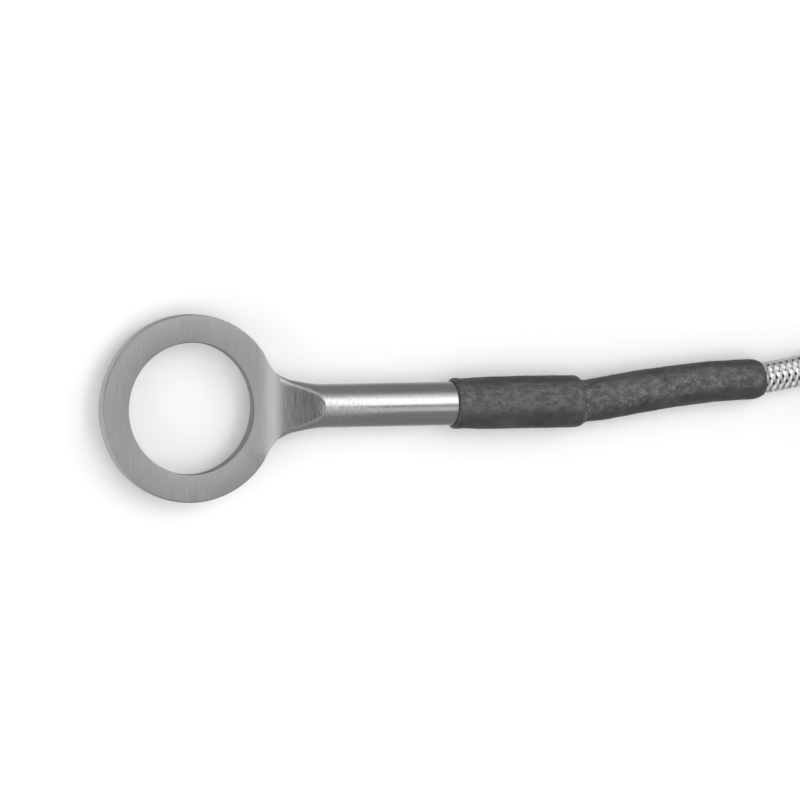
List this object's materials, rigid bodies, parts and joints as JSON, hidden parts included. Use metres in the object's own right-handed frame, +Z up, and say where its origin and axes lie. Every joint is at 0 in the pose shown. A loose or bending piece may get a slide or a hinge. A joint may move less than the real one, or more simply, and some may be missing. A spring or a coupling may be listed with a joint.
{
  "type": "ring thermocouple probe",
  "caption": "Ring thermocouple: flat washer ring with a forged neck on a small sheath tube, shrink sleeve, and a wire-braided cable ending in two leads with fork terminals",
  "frame": {"origin": "on the surface the probe lies on, under the middle of the box round the ring, tube and sleeve, without the free cable", "axes": "+X along the tube from the ring towards the cable, +Y across the ring, +Z up, square to the ring's flat faces"},
  "size_m": [0.1682, 0.031, 0.0146],
  "materials": {
    "lug_steel": "satin ground stainless steel",
    "tube_steel": "bright drawn stainless steel",
    "couple_alloy": "bare nickel alloy",
    "white_ceramic": "unglazed",
    "potting_cement": "rough, cast in place",
    "shrink_sleeve_polymer": "matte, mottled shrink tubing",
    "wire_braid": "bright stainless wire braid",
    "tie_nylon": "natural nylon",
    "red_insulation": "smooth polymer insulation",
    "blue_insulation": "smooth polymer insulation",
    "tinned_copper": "bright tin plating"
  },
  "bodies": {
    "root": {"ring_lug": "lug_steel", "sheath_tube": "tube_steel", "measuring_junction": "couple_alloy", "thermoelement_positive": "couple_alloy", "thermoelement_negative": "couple_alloy", "ceramic_insulator": "white_ceramic", "potting_plug": "potting_cement", "shrink_sleeve": "shrink_sleeve_polymer", "cable_entry": "wire_braid", "cable_run": "wire_braid", "cable_hank": "wire_braid", "cable_tail": "wire_braid", "hank_tie": "tie_nylon", "tail_sleeve": "shrink_sleeve_polymer", "lead_positive": "red_insulation", "lead_negative": "blue_insulation", "terminal_sleeve_positive": "red_insulation", "terminal_sleeve_negative": "blue_insulation", "fork_terminal_positive": "tinned_copper", "fork_terminal_negative": "tinned_copper"}
  },
  "joints": []
}
